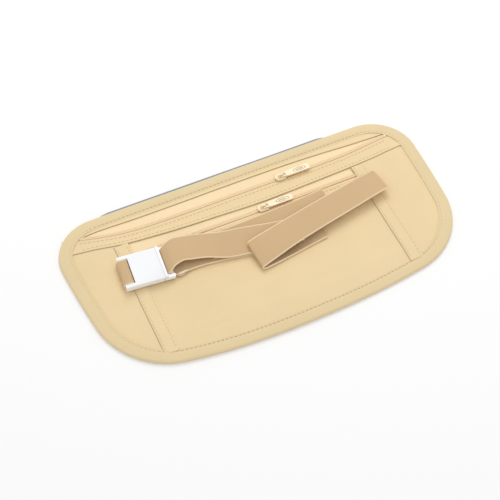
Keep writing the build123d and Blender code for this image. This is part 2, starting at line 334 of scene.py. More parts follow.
class Effects:
    """The node groups that several finishes share, each built once."""

    def __init__(self) -> None:
        """Builds the groups."""
        self.weave = self._weave()
        self.tone = self._tone()
        self.band = self._band()

    def _weave(self) -> bpy.types.NodeTree:
        """Crossing threads: height is the sine of one way times the sine of the other."""
        graph, given, made = new_group(
            "thread_weave", [("Vector", "NodeSocketVector", 0), ("Along", "NodeSocketFloat", 0.4),
                             ("Across", "NodeSocketFloat", 0.4)], ["Height"])
        parts = graph.parts(given.outputs[0])
        waves = [graph.math("SINE", graph.math("DIVIDE", graph.math("MULTIPLY", parts[k], TAU / MM),
                                               given.outputs[k + 1])) for k in (0, 1)]
        height = graph.math("MULTIPLY_ADD", graph.math("MULTIPLY", *waves), 0.5, 0.5)
        graph.tree.links.new(height, made.inputs[0])
        return graph.tree

    def _tone(self) -> bpy.types.NodeTree:
        """Uneven dye: 1 plus an amount times two sizes of noise about their middle."""
        graph, given, made = new_group(
            "uneven_tone", [("Vector", "NodeSocketVector", 0), ("Amount", "NodeSocketFloat", 0.05)],
            ["Factor"])
        broad = graph.math("SUBTRACT", graph.dots(given.outputs[0], 22.0), 0.5)
        fine = graph.math("SUBTRACT", graph.dots(given.outputs[0], 900.0, 1.0), 0.5)
        both = graph.math("MULTIPLY_ADD", fine, 0.6, broad)
        factor = graph.math("MULTIPLY_ADD", both, given.outputs[1], 1.0)
        graph.tree.links.new(factor, made.inputs[0])
        return graph.tree

    def _band(self) -> bpy.types.NodeTree:
        """A line of a given half width at a given distance from 0, soft at its edges."""
        graph, given, made = new_group(
            "soft_line", [("Value", "NodeSocketFloat", 0), ("At", "NodeSocketFloat", 1.0),
                          ("Half Width", "NodeSocketFloat", 0.2)], ["Mask"])
        size = graph.math("ABSOLUTE", graph.math("DIVIDE", given.outputs[0], MM))
        away = graph.math("ABSOLUTE", graph.math("SUBTRACT", size, given.outputs[1]))
        share = graph.math("DIVIDE", away, given.outputs[2])
        node = graph.node("ShaderNodeMapRange", {0: share, 1: 0.5, 2: 1.3, 3: 1.0, 4: 0.0},
                          interpolation_type="SMOOTHSTEP")
        graph.tree.links.new(node.outputs[0], made.inputs[0])
        return graph.tree


class Source(Enum):
    """Where a pattern's coordinates come from."""
    OBJECT = "Object"
    UV = "UV"


@dataclass(frozen=True)
class Finish:
    """What every finish has: a name, a colour and a roughness."""
    name: str
    colour: tuple[float, float, float]
    roughness: float = 0.8
    uneven: float = 0.06

    def start(self, effects: Effects, source: Source) -> tuple[Graph, bpy.types.Node, object, object]:
        """A new material's graph, its Principled shader, its coordinates and its uneven colour."""
        material = bpy.data.materials.new(self.name)
        material.use_nodes = True
        graph = Graph(material.node_tree)
        graph.material = material
        shader = material.node_tree.nodes["Principled BSDF"]
        shader.inputs["Roughness"].default_value = self.roughness
        where = graph.node("ShaderNodeTexCoord").outputs[source.value]
        colour = graph.scale(self.colour, graph.group(effects.tone, where, self.uneven))
        return graph, shader, where, colour

    @staticmethod
    def end(graph: Graph, shader: bpy.types.Node, colour: object,
            normal: object) -> bpy.types.Material:
        """Joins the colour and the normal to the shader, and gives the material."""
        graph.tree.links.new(colour, shader.inputs["Base Color"])
        graph.tree.links.new(normal, shader.inputs["Normal"])
        return graph.material


@dataclass(frozen=True)
class Cloth(Finish):
    """Plain woven nylon: fine crossing threads, a soft sheen, slightly uneven dye and painted shade
    along folded edges.
    """
    pitch: float = 0.42
    relief: float = 0.35
    sheen: float = 0.12
    thread_shade: float = 0.05
    fold_painted_shade: float = 0.55
    crease_scale: float = 130.0
    crease_relief: float = 0.12

    def make(self, effects: Effects) -> bpy.types.Material:
        """The material."""
        graph, shader, where, colour = self.start(effects, Source.OBJECT)
        weave = graph.group(effects.weave, where, self.pitch, self.pitch)
        colour = graph.scale(colour, graph.shade(weave, self.thread_shade))
        # Painted shade: where the mesh's inside share is set, the colour turns darker along folded
        # edges.
        dark = tuple(self.fold_painted_shade * part for part in self.colour)
        colour = graph.mix(graph.inside(), colour, (*dark, 1.0))
        creases = graph.bump(graph.dots(where, self.crease_scale, 3.0), self.crease_relief, 0.6 * MM)
        normal = graph.bump(weave, self.relief, 0.08 * MM, creases)
        shader.inputs["Sheen Weight"].default_value = self.sheen
        shader.inputs["Sheen Roughness"].default_value = 0.5
        shader.inputs["Specular IOR Level"].default_value = 0.25
        return self.end(graph, shader, colour, normal)


@dataclass(frozen=True)
class Webbing(Finish):
    """Ribbed elastic: fine lengthwise cords, fainter crosswise ribs, pale selvedges and painted shade
    inside folds.
    """
    width: float = STRAP_WIDTH
    selvedge: tuple[float, float, float] = (0.86, 0.68, 0.44)
    # The inner colour: a slightly browner underside, mostly painted shade inside the strap's folds.
    inner: tuple[float, float, float] = (0.37, 0.23, 0.12)
    cord_pitch: float = 0.75
    rib_pitch: float = 0.95
    rib_share: float = 0.25
    rib_shade: float = 0.16
    selvedge_half: float = 0.55

    def make(self, effects: Effects) -> bpy.types.Material:
        """The material."""
        graph, shader, where, colour = self.start(effects, Source.UV)
        weave = graph.group(effects.weave, where, self.rib_pitch, self.cord_pitch)
        parts = graph.parts(where)
        rib = graph.math("SINE", graph.math("MULTIPLY", parts[0], TAU / (self.rib_pitch * MM)))
        height = graph.math("MULTIPLY_ADD", rib, self.rib_share, weave)
        colour = graph.scale(colour, graph.shade(height, self.rib_shade))
        # Painted shade: the inner side of a fold takes the darker inner colour by the mesh's inside
        # share.
        colour = graph.mix(graph.inside(), colour, (*self.inner, 1.0))
        middle = graph.math("SUBTRACT", parts[1], self.width * MM / 2)
        edge = graph.group(effects.band, middle, self.width / 2 + OUTSIDE, self.selvedge_half)
        colour = graph.mix(edge, colour, (*self.selvedge, 1.0))
        normal = graph.bump(height, 0.5, 0.12 * MM)
        shader.inputs["Sheen Weight"].default_value = 0.15
        shader.inputs["Specular IOR Level"].default_value = 0.2
        return self.end(graph, shader, colour, normal)


@dataclass(frozen=True)
class ZipTape(Finish):
    """Fine herringbone tape with a line of painted shade beside the coils."""
    # Colour of the painted shade line beside the coils.
    line: tuple[float, float, float] = (0.52, 0.29, 0.16)
    coil_shade_at: float = 1.5
    coil_shade_half: float = 0.2
    herringbone: float = 1.6
    slant_pitch: float = 0.55
    thread_shade: float = 0.05

    def make(self, effects: Effects) -> bpy.types.Material:
        """The material."""
        graph, shader, where, colour = self.start(effects, Source.UV)
        parts = graph.parts(where)
        zigzag = graph.math("PINGPONG", parts[1], self.herringbone * MM)
        slant = graph.math("MULTIPLY", graph.math("ADD", parts[0], zigzag),
                           TAU / (self.slant_pitch * MM))
        height = graph.math("MULTIPLY_ADD", graph.math("SINE", slant), 0.5, 0.5)
        colour = graph.scale(colour, graph.shade(height, self.thread_shade))
        # Painted shade: a darker line along each side, just past the coils' edge.
        sewn = graph.group(effects.band, parts[1], self.coil_shade_at, self.coil_shade_half)
        colour = graph.mix(sewn, colour, (*self.line, 1.0))
        normal = graph.bump(height, 0.35, 0.08 * MM)
        shader.inputs["Specular IOR Level"].default_value = 0.25
        return self.end(graph, shader, colour, normal)


@dataclass(frozen=True)
class Moulded(Finish):
    """Moulded or painted parts: a faint grain, a gloss and softly uneven roughness."""
    grain: float = 1500.0
    relief: float = 0.05
    coat: float = 0.0
    mark_shade: float = 0.35

    def make(self, effects: Effects) -> bpy.types.Material:
        """The material."""
        graph, shader, where, colour = self.start(effects, Source.OBJECT)
        grain = graph.dots(where, self.grain, 2.0)
        rough = graph.math("MULTIPLY_ADD", grain, 0.12, self.roughness - 0.06)
        graph.tree.links.new(rough, shader.inputs["Roughness"])
        dark = tuple(self.mark_shade * part for part in self.colour)
        colour = graph.mix(graph.inside(), colour, (*dark, 1.0))
        normal = graph.bump(grain, self.relief, 0.1 * MM)
        shader.inputs["Coat Weight"].default_value = self.coat
        return self.end(graph, shader, colour, normal)


@dataclass(frozen=True)
class Thread(Finish):
    """Twisted sewing thread, with painted shade where it goes down into the cloth."""
    hole_shade: tuple[float, float, float] = (0.40, 0.28, 0.14)

    def make(self, effects: Effects) -> bpy.types.Material:
        """The material."""
        graph, shader, where, colour = self.start(effects, Source.UV)
        parts = graph.parts(where)
        # Painted shade: both ends of each stitch turn darker where the thread sinks into the cloth.
        sunk_shade_mask = graph.node("ShaderNodeMapRange", {0: parts[0], 1: 0.55 * MM, 2: 0.95 * MM, 3: 0.0,
                                                 4: 1.0}, interpolation_type="SMOOTHSTEP")
        colour = graph.mix(sunk_shade_mask.outputs[0], colour, (*self.hole_shade, 1.0))
        twist = graph.math("ADD", graph.math("MULTIPLY", parts[0], 9000.0),
                           graph.math("MULTIPLY", parts[1], 6000.0))
        normal = graph.bump(graph.math("SINE", twist), 0.4, 0.06 * MM)
        return self.end(graph, shader, colour, normal)


class Finishes:
    """Every material of the belt."""

    def __init__(self) -> None:
        """Makes the materials."""
        effects = Effects()
        cloth = (0.855, 0.672, 0.392)
        self.cloth = Cloth("pouch_cloth", cloth, uneven=0.10).make(effects)
        self.binding = Cloth("binding_cloth", (0.80, 0.635, 0.375), uneven=0.08).make(effects)
        self.backing = Cloth("grey_backing", (0.27, 0.30, 0.34), pitch=0.36, sheen=0.3).make(effects)
        self.lining = Cloth("lining", (0.78, 0.66, 0.46), pitch=0.3).make(effects)
        self.tape = ZipTape("zip_tape", (0.95, 0.75, 0.465), roughness=0.7).make(effects)
        self.coil = Moulded("zip_coil", (0.92, 0.71, 0.44), roughness=0.45, relief=0.03).make(effects)
        self.slider = Moulded("painted_slider", (0.93, 0.75, 0.48), roughness=0.32,
                              coat=0.3).make(effects)
        self.webbing = Webbing("elastic_webbing", (0.655, 0.455, 0.25), roughness=0.85,
                               uneven=0.10).make(effects)
        self.plastic = Moulded("white_plastic", (0.93, 0.94, 0.96), roughness=0.30,
                               coat=0.2, uneven=0.01).make(effects)
        self.thread = Thread("sewing_thread", (0.76, 0.60, 0.35), roughness=0.6,
                             hole_shade=(0.60, 0.45, 0.25)).make(effects)
        self.strap_thread = Thread("strap_thread", (0.98, 0.90, 0.72), roughness=0.6,
                                   hole_shade=(0.45, 0.30, 0.17)).make(effects)


# ---- the pouch -----------------------------------------------------------------------------

class Outline:
    """The pouch's edge, read from the lining's CAD solid, with lines inside it at any distance."""

    # How far the cloth's edge stands outside the CAD's plain edge, in mm, at 48 even places round
    # it, anticlockwise from the left end. A separate script measured these values.
    trim: tuple = (-2.7, -4.0, -4.1, -3.2, -2.3, -1.2, -0.3, 0.0, 0.0, -0.1, -0.4, -0.7,
                   -0.9, -0.9, -0.9, -1.4, -2.1, -2.7, -2.8, -2.6, -1.8, -0.8, 0.0, 0.0,
                   0.0, 0.0, 0.0, 0.0, 0.0, 0.0, 0.0, -0.1, -0.2, -0.2, 0.0, 0.0,
                   -0.1, 0.0, 0.0, 0.0, 0.0, 0.0, 0.0, 0.0, 0.0, -0.1, -0.3, -1.2)

    def __init__(self, node: str = "divider_panel", inset: float = 0.9, count: int = 1440) -> None:
        """Samples the edge evenly.

        Args:
            node: The CAD node whose side follows the edge.
            inset: How far inside the edge that node's side lies.
            count: Number of samples.
        """
        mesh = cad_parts[node].data
        points = np.empty(len(mesh.vertices) * 3, np.float32)
        mesh.vertices.foreach_get("co", points)
        flat = np.unique(np.round(points.reshape(-1, 3)[:, :2] / MM, 3), axis=0)
        turn = np.argsort(np.arctan2(flat[:, 1], flat[:, 0]))
        ring = np.vstack([flat[turn], flat[turn[:1]]])
        at = np.concatenate([[0.0], np.cumsum(np.linalg.norm(np.diff(ring, axis=0), axis=1))])
        even = np.linspace(0.0, at[-1], count, endpoint=False)
        ring = np.stack([np.interp(even, at, ring[:, k]) for k in (0, 1)], axis=1)
        for _ in range(6):
            ring = (np.roll(ring, 1, axis=0) + 2 * ring + np.roll(ring, -1, axis=0)) / 4
        along = unit(np.roll(ring, -3, axis=0) - np.roll(ring, 3, axis=0))
        self.normal = np.stack([along[:, 1], -along[:, 0]], axis=1)
        ring = ring + inset * self.normal
        places = np.arange(len(self.trim)) / len(self.trim) * count
        drawn = np.interp(np.arange(count), places, self.trim, period=count)
        for _ in range(160):
            drawn = (np.roll(drawn, 3) + drawn + np.roll(drawn, -3)) / 3
        self.edge = ring + drawn[:, None] * self.normal
        along = unit(np.roll(self.edge, -3, axis=0) - np.roll(self.edge, 3, axis=0))
        self.normal = np.stack([along[:, 1], -along[:, 0]], axis=1)
        self.length = float(at[-1])

    def at(self, inset: float) -> np.ndarray:
        """The closed line at a distance inside the edge."""
        return self.edge - inset * self.normal

    def span(self, inset: float) -> tuple[Callable, Callable]:
        """The lowest and the highest y at an x, inside the edge by a distance."""
        line = self.at(inset)
        low, high = line[line[:, 1] < 0], line[line[:, 1] >= 0]
        low, high = low[np.argsort(low[:, 0])], high[np.argsort(high[:, 0])]
        return (lambda x: np.interp(x, low[:, 0], low[:, 1]),
                lambda x: np.interp(x, high[:, 0], high[:, 1]))


@dataclass
class Drape:
    """How the empty pouch lies: flat under the strap, thin at its edge, soft between."""
    outline: Outline
    edge_drop: float = 1.75
    edge_reach: float = 25.0
    wave: float = 0.55
    grid: float = 1.5
    dents: tuple = ((-62.0, -38.0, 15.0, 9.0, 0.55), (-10.0, -42.0, 24.0, 8.0, 0.35),
                    (60.0, -36.0, 20.0, 10.0, 0.45), (112.0, -5.0, 9.0, 22.0, 0.5),
                    (-113.0, -8.0, 8.0, 20.0, 0.4), (-58.0, -48.0, 10.0, 3.0, 0.3),
                    (-110.0, 18.0, 7.0, 3.5, 0.3), (-20.0, -26.0, 22.0, 3.5, 0.3),
                    (28.0, -44.0, 16.0, 3.0, 0.25), (62.0, -16.0, 12.0, 3.5, 0.3),
                    (104.0, 30.0, 6.0, 12.0, 0.3), (-104.0, -30.0, 5.0, 10.0, 0.3))
    still: tuple = ((-85.0, 11.0, 26.0, 22.0), (-40.0, 9.0, 40.0, 20.0), (25.0, 2.0, 50.0, 24.0),
                    (75.0, 9.0, 28.0, 20.0))

    def __post_init__(self) -> None:
        """Measures the distance to the edge on a grid."""
        self.xs, self.ys = np.arange(-138, 139, self.grid), np.arange(-74, 75, self.grid)
        x, y = np.meshgrid(self.xs, self.ys, indexing="ij")
        ring = self.outline.edge[::3]
        away = np.full(x.shape, 1e9)
        for part in np.array_split(ring, 24):
            gap = np.hypot(x[..., None] - part[:, 0], y[..., None] - part[:, 1]).min(axis=-1)
            away = np.minimum(away, gap)
        low, high = self.outline.span(0.0)
        within = (y > low(x)) & (y < high(x))
        self.away = np.where(within, away, 0.0)

    def distance(self, x: np.ndarray, y: np.ndarray) -> np.ndarray:
        """How far inside the edge a point is, from the four grid values round it."""
        i = np.clip((x - self.xs[0]) / self.grid, 0, len(self.xs) - 1.001)
        j = np.clip((y - self.ys[0]) / self.grid, 0, len(self.ys) - 1.001)
        a, b = i.astype(int), j.astype(int)
        s, t = i - a, j - b
        d = self.away
        return ((1 - s) * (1 - t) * d[a, b] + s * (1 - t) * d[a + 1, b]
                + (1 - s) * t * d[a, b + 1] + s * t * d[a + 1, b + 1])

    def lay(self, x: np.ndarray, y: np.ndarray) -> np.ndarray:
        """How far below its CAD level the front lies: never above it.

        The drop at the edge fades inwards; waves are a sum of slow sines; each dent is a bell.
        Waves and dents fade out where the strap and the buckle lie.
        """
        drop = self.edge_drop * (1 - ramp(self.distance(x, y), 0.0, self.edge_reach))
        slow = (np.sin(x / 23.0 + y / 31.0 + 0.6) + np.sin(x / 41.0 - y / 17.0 + 2.1)
                + 0.6 * np.sin(x / 13.0 + y / 12.0 + 4.0)) / 2.6
        soft = self.wave * (0.5 + 0.5 * slow)
        for cx, cy, rx, ry, depth in self.dents:
            soft = soft + depth * np.exp(-((x - cx) / rx) ** 2 - ((y - cy) / ry) ** 2)
        free = np.ones_like(soft)
        for cx, cy, rx, ry in self.still:
            free = free * ramp(np.hypot((x - cx) / rx, (y - cy) / ry), 0.85, 1.35)
        return -drop - soft * free


@dataclass
class Sewing:
    """Rows of stitches: each a short thread that dips into the cloth at both ends."""
    pitch: float = 3.0
    length: float = 2.1
    radius: float = 0.26

    def row(self, shell: Shell, path: np.ndarray, pitch: Optional[float] = None,
            length: Optional[float] = None, radius: Optional[float] = None,
            closed: bool = False) -> None:
        """Adds one row along a path of points on the cloth.

        A stitch is a spindle: its radius and its height above the cloth fall from the middle to
        its ends, with the square root of 1 - t^2.

        Args:
            shell: Takes the stitches.
            path: Points along the row.
            pitch: Distance between stitches.
            length: Length of one stitch.
            radius: Radius of the thread.
            closed: The path joins up.
        """
        pitch, length = pitch or self.pitch, length or self.length
        radius = radius or self.radius
        if closed:
            path = np.vstack([path, path[:1]])
        at = np.concatenate([[0.0], np.cumsum(np.linalg.norm(np.diff(path, axis=0), axis=1))])
        count = max(1, int(at[-1] / pitch))
        centre = (np.arange(count) + 0.5) * at[-1] / count
        line = lambda s: np.stack([np.interp(s, at, path[:, k]) for k in range(3)], axis=-1)
        ahead, behind = line(centre + length / 2), line(centre - length / 2)
        along = unit(ahead - behind)
        side = unit(np.cross(along, [0.0, 0.0, 1.0]))
        up = np.cross(side, along)
        share = np.array([-0.98, -0.7, 0.0, 0.7, 0.98])
        fat = np.sqrt(1 - share**2)
        turn = np.arange(6) / 6 * TAU
        mid = line(centre)
        for k in range(count):
            spine = mid[k] + share[:, None] * length / 2 * along[k]
            spine = spine + (fat[:, None] - 0.75) * radius * up[k]
            ring = (np.cos(turn)[None, :, None] * side[k] + np.sin(turn)[None, :, None] * up[k])
            rings = spine[:, None, :] + ring * radius * np.maximum(fat, 0.3)[:, None, None]
            shell.tube(rings, np.abs(share), np.append(turn, TAU))


@dataclass
class Pouch:
    """The cloth of the pouch: panels, strips, binding, back and lining."""
    outline: Outline
    drape: Drape
    finishes: Finishes
    sewing: Sewing
    cloth: float = 0.6
    front: float = 3.5
    strip: float = 4.1
    tuck: float = 3.2
    binding_width: float = 9.5
    left_seam: float = -92.0
    right_seam: float = 87.0
    seam_width: float = 10.0
    centre_top: float = 24.4
    zip_points: tuple = ((-130.0, 62.5), (-115.0, 56.8), (-101.5, 52.6), (-86.0, 49.3),
                         (-70.0, 47.8), (-54.5, 47.35), (0.0, 47.3), (64.5, 47.4), (82.0, 48.0),
                         (100.0, 49.6), (118.8, 52.2), (130.0, 54.2))
    upper_fold: tuple = ((-134.0, 60.5), (-120.6, 57.6), (-99.3, 57.9), (-75.0, 57.1),
                         (-38.0, 57.1), (-13.0, 57.5), (16.0, 57.4), (50.0, 56.9), (72.0, 56.0),
                         (95.0, 54.6), (115.9, 54.2), (134.0, 56.5))
    middle_fold: tuple = ((-134.0, 48.6), (-123.9, 46.0), (-105.4, 42.2), (-91.5, 39.3),
                          (-68.0, 36.8), (-47.0, 35.2), (-22.5, 34.2), (12.0, 33.0), (39.0, 33.4),
                          (65.6, 34.2), (88.8, 35.2), (123.9, 38.8), (134.0, 40.4))

    def __post_init__(self) -> None:
        """Works out the folds' curves."""
        self.upper_edge = curve_of(self.upper_fold)
        self.middle_edge = curve_of(self.middle_fold)
        self.zip_curve = curve_of(self.zip_points)
        self.low, self.high = self.outline.span(self.tuck)

    def zip_line(self, x: np.ndarray) -> np.ndarray:
        """The upper zip's line: straight in its middle, and bent up towards each end."""
        return self.zip_curve(x)

    def panel(self, name: str, x_low: float, x_high: float, low: Callable, high: Callable,
              level: float, material: bpy.types.Material, lift: Optional[Callable] = None,
              fold_low: float = 0.0, fold_high: float = 0.0) -> bpy.types.Object:
        """One sheet of cloth between two curves, as closed rings across it.

        Each ring goes along the top from the low edge to the high one, round a half circle, back
        along the underside and round again. A folded edge is thicker by its fold.

        Args:
            name: The piece's name.
            x_low: Its left end.
            x_high: Its right end.
            low: Curve of its lower edge.
            high: Curve of its upper edge.
            level: Height of the cloth's middle.
            material: Its material.
            lift: Extra height over x and y.
            fold_low: Extra half thickness at the lower edge, which also gets painted shade.
            fold_high: Extra half thickness at the upper edge.

        Returns:
            The piece.
        """
        xs = np.linspace(x_low, x_high, int((x_high - x_low) / 1.5) + 2)
        count = int(np.clip(np.max(high(xs) - low(xs)) / 1.3, 8, 90))
        crowded = 0.5 - 0.5 * np.cos(np.linspace(0, np.pi, count))
        share = 0.6 * np.linspace(0, 1, count) + 0.4 * crowded
        half = self.cloth / 2
        y_low, y_high = low(xs)[:, None] + half, high(xs)[:, None] - half
        y_high = np.maximum(y_high, y_low + 0.2)
        y = y_low + (y_high - y_low) * share
        thick = (half + fold_low * np.exp(-((y - y_low) / 1.2) ** 2)
                 + fold_high * np.exp(-((y_high - y) / 1.2) ** 2))
        bend = np.linspace(0, np.pi, 7)[1:-1]
        ring_y = [y, y_high + thick[:, -1:] * np.sin(bend), y[:, ::-1],
                  y_low - thick[:, :1] * np.sin(bend)]
        ring_z = [thick, thick[:, -1:] * np.cos(bend), -thick[:, ::-1],
                  -thick[:, :1] * np.cos(bend)]
        y, z = np.concatenate(ring_y, axis=1), np.concatenate(ring_z, axis=1)
        x = np.broadcast_to(xs[:, None], y.shape)
        z = z + level + self.drape.lay(x, y)
        if lift is not None:
            z = z + lift(x, y)
        # Painted shade: the bend of a folded lower edge and the underside next to it take the darker
        # colour.
        fold = np.zeros(y.shape)
        if fold_low:
            fold[:, -4:] = (0.35, 0.8, 1.0, 0.9)[::-1]
            fold[:, -8:-5] = 0.9
        shell = Shell()
        shell.tube(np.stack([x, y, z], axis=-1), inside=fold)
        piece = shell.finish(name, material)
        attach(piece, "pouch")
        flat = (xs[-1] - xs[0]) * MM, float(np.max(high(xs)) - np.min(low(xs))) * MM
        area = float(np.mean(high(xs) - low(xs))) * flat[0] * MM
        log.info("panel %s", name)
        return piece

    def panels(self) -> None:
        """The five panels of the front."""
        cloth = self.finishes.cloth
        under = lambda x, y: -0.28 * ramp(y, self.middle_edge(x) - 4.0, self.middle_edge(x) + 0.5)
        over = lambda x, y: 0.22 * (1 - ramp(y, self.middle_edge(x), self.middle_edge(x) + 6.0))
        reach = 130.0
        side_top = lambda x: np.minimum(self.middle_edge(x) + 0.8, self.high(x))
        parts = [
            ("top_strip_cloth", -reach + 3, reach - 3, self.upper_edge, self.high, None,
             "top_strip", 0.22, 0.0),
            ("middle_strip_cloth", -reach + 2.5, reach - 2.5, self.middle_edge,
             lambda x: np.minimum(self.zip_line(x) - 1.85, self.high(x)), over,
             "middle_strip", 0.2, 0.12),
            ("centre_panel_cloth", self.left_seam, self.right_seam, self.low,
             lambda x: self.centre_top + 0.35 * np.sin(x / 19.0), None,
             "centre_front_panel", 0.0, 0.2),
            ("left_panel_cloth", -reach, self.left_seam - 0.1, self.low, side_top, under,
             "left_front_panel", 0.0, 0.0),
            ("right_panel_cloth", self.right_seam + 0.1, reach, self.low, side_top, under,
             "right_front_panel", 0.0, 0.0),
        ]
        for name, x_low, x_high, low, high, lift, node, low_fold, high_fold in parts:
            piece = self.panel(name, x_low, x_high, low, high, self.front, cloth, lift, low_fold,
                               high_fold)
            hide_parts(node)

    def seam_strips(self) -> None:
        """The upright strips: a crowned band with both long edges folded under.

        The strip is a profile across x, carried along y. Its height is the cloth's, plus a crown
        that falls to the edges with the fourth power, less a dimple along both sewn rows.
        """
        for name, x, node in (("left_strip_cloth", self.left_seam, "left_seam_strip"),
                              ("right_strip_cloth", self.right_seam, "right_seam_strip")):
            low, _ = self.outline.span(7.0)
            y = np.arange(float(low(np.array([x]))[0]), float(self.middle_edge(np.array([x]))[0]) - 0.2,
                          1.2)
            half = self.seam_width / 2
            share = np.linspace(-1, 1, 21)
            crown = 0.3 * (1 - share**12) - 0.12 * np.exp(-((np.abs(share) - 0.72) / 0.12) ** 2)
            top = np.stack([x + half * share, crown], axis=1)
            end = np.linspace(0, np.pi, 5)[1:-1]
            right = np.stack([x + half + 0.15 * np.sin(end), -0.15 + 0.15 * np.cos(end)], axis=1)
            bottom = np.stack([x + half * share[::-1], np.full(21, -0.35)], axis=1)
            left = np.stack([x - half - 0.32 * np.sin(end), -0.17 - 0.15 * np.cos(end)], axis=1)
            profile = np.concatenate([top, right, bottom, left])
            # Painted shade: the left edge's round and the underside take the darker colour, for the
            # dark line along the strip's left edge; the right round takes a little.
            fold = np.concatenate([np.where(share < -0.97, 0.8, 0.0), np.full(3, 0.25),
                                   np.full(21, 0.8), np.full(3, 1.0)])
            lean = 0.4 * np.sin(y / 37.0)
            px = profile[None, :, 0] + lean[:, None]
            py = np.broadcast_to(y[:, None], px.shape)
            z = self.strip + profile[None, :, 1] + self.drape.lay(px, py)
            shell = Shell()
            shell.tube(np.stack([px, py, z], axis=-1), inside=np.broadcast_to(fold, px.shape))
            piece = shell.finish(name, self.finishes.cloth)
            assign(piece, "pouch", node)
            log.info("strip %s", name)

    def binding(self) -> None:
        """The edge binding: a profile carried round the outline.

        The profile rises from the back panel round the edge, over a low crown and down to its
        inner edge, and returns underneath. Dimples follow the sewn row with a cosine. Its inner
        edge stands up less along the top and the bottom than round the ends.
        """
        outer = np.linspace(0.0, np.pi / 2, 8)
        radius = 1.15
        inset = np.concatenate([radius * (1 - np.cos(outer)),
                                [2.2, 3.5, 4.8, 6.0, 7.0, 7.6, 8.0, 8.4, 9.0, 9.3,
                                 9.5, 9.55, 9.5, 9.2, 7.0, 4.0, 1.8, 0.75]])
        rise = np.concatenate([radius * np.sin(outer) - radius, np.zeros(10), [-0.08, -0.25, -0.42,
                               -0.5, -0.5, -0.55, -0.7, -1.0]])
        crown = np.interp(inset, [0, 1.2, 4.0, 7.6, 9.6], [0.0, 0.05, 0.22, 0.05, 0.0])
        crown[18:] = 0
        ring = self.outline.edge
        count = len(ring)
        at = np.arange(count) / count * self.outline.length
        dimple = 0.5 + 0.5 * np.cos(TAU * at / self.sewing.pitch)
        stand = ramp(np.abs(ring[:, 0]), 92.0, 118.0) * 0.75 + 0.25
        px = ring[:, None, 0] - inset[None, :] * self.outline.normal[:, None, 0]
        py = ring[:, None, 1] - inset[None, :] * self.outline.normal[:, None, 1]
        top = self.strip + 0.3 - 0.6 * (1 - stand)[:, None] * ramp(inset, 5.0, 9.5)
        z = top + self.drape.lay(px, py) + crown + rise
        z = z - 0.16 * dimple[:, None] * np.exp(-((inset - 7.8) / 0.8) ** 2) * (rise > -0.2)
        wrap = [(1.2, 0.75), (6.2, 0.32), (6.9, 0.28), (7.2, 0.16), (6.9, 0.03), (6.0, 0.0),
                (2.0, 0.0), (0.8, 0.03), (0.25, 0.2), (0.0, 0.6)]
        turned = [np.concatenate([ring - d * self.outline.normal, np.full((count, 1), height)],
                                 axis=1)[:, None, :] for d, height in wrap]
        rings = np.concatenate([np.stack([px, py, np.maximum(z, 0.9)], axis=-1), *turned], axis=1)
        shell = Shell()
        shell.tube(rings, loop=True)
        piece = shell.finish("edge_binding_cloth", self.finishes.binding)
        assign(piece, "pouch", "edge_binding")
        log.info("edge binding, %.0f points round", count)

    def plate(self, name: str, inset: float, low: float, high: float,
              material: bpy.types.Material, peek: float = 0.0) -> bpy.types.Object:
        """A whole sheet of the pouch's shape, as rings from the middle of its top to its back.

        Args:
            name: The piece's name.
            inset: How far inside the edge it ends.
            low: Height of its underside.
            high: Height of its top.
            material: Its material.
            peek: How far it shows past the top edge.

        Returns:
            The piece.
        """
        edge = self.outline.at(inset)[::2]
        past = peek * ramp(-np.abs(edge[:, 0] + 8.0), -98.0, -80.0) * (edge[:, 1] > 60.0)
        edge = edge + np.stack([np.zeros(len(edge)), past], axis=1)
        half = (high - low) / 2
        turn = np.linspace(0, np.pi, 7)
        share = np.array([0.05, 0.2, 0.4, 0.6, 0.78, 0.9, 0.96])
        rings = [np.column_stack([edge * s, np.full(len(edge), high)]) for s in share]
        normal = self.outline.normal[::2]
        for angle in turn:
            ring = edge - half * (1 - np.sin(angle)) * normal
            rings.append(np.column_stack([ring, np.full(len(edge), low + half + half * np.cos(angle))]))
        rings += [np.column_stack([edge * s, np.full(len(edge), low)]) for s in share[::-1]]
        shell = Shell()
        shell.tube(np.stack(rings))
        piece = shell.finish(name, material)
        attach(piece, "pouch")
        return piece

    def back(self) -> None:
        """The back panel and the lining."""
        back = self.plate("back_panel_cloth", 1.4, 0.22, 0.72, self.finishes.backing, 3.5)
        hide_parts("back_panel")
        lining = self.plate("lining_sheet", 3.0, 0.95, 1.3, self.finishes.lining)
        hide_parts("divider_panel")

    def stitches(self) -> None:
        """Every sewn row on the front and round the back."""
        over = lambda x, y, level: np.stack([x, y, level + self.drape.lay(x, y)], axis=-1)
        shell = Shell()
        edge = self.outline.at(7.8)
        self.sewing.row(shell, over(edge[:, 0], edge[:, 1], self.strip + 0.18), closed=True)
        x = np.arange(-117.0, 118.0, 2.0)
        self.sewing.row(shell, over(x, self.zip_line(x) - 4.4, self.front + 0.34))
        self.sewing.row(shell, over(x, self.middle_edge(x) + 2.2, self.front + 0.52))
        x = np.arange(self.left_seam + 6, self.right_seam - 5, 2.0)
        self.sewing.row(shell, over(x, np.full_like(x, self.centre_top - 2.3), self.front + 0.34))
        for seam in (self.left_seam, self.right_seam):
            low, _ = self.outline.span(10.0)
            y = np.arange(float(low(np.array([seam]))[0]), float(self.middle_edge(np.array([seam]))[0])
                          - 1.5, 2.0)
            for side in (-3.6, 3.6):
                self.sewing.row(shell, over(seam + side + 0.4 * np.sin(y / 37.0), y,
                                            self.strip + 0.18), pitch=2.8)
        piece = shell.finish("front_stitches", self.finishes.thread)
        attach(piece, "pouch")
        shell = Shell()
        ring = np.column_stack([edge, np.full(len(edge), 0.02)])
        self.sewing.row(shell, ring, radius=0.16, closed=True)
        piece = shell.finish("back_stitches", self.finishes.thread)
        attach(piece, "pouch")
        log.info("stitches")

    def build(self) -> None:
        """Makes all the cloth."""
        self.back()
        self.panels()
        self.seam_strips()
        self.binding()
        self.stitches()


# ---- zips ----------------------------------------------------------------------------------

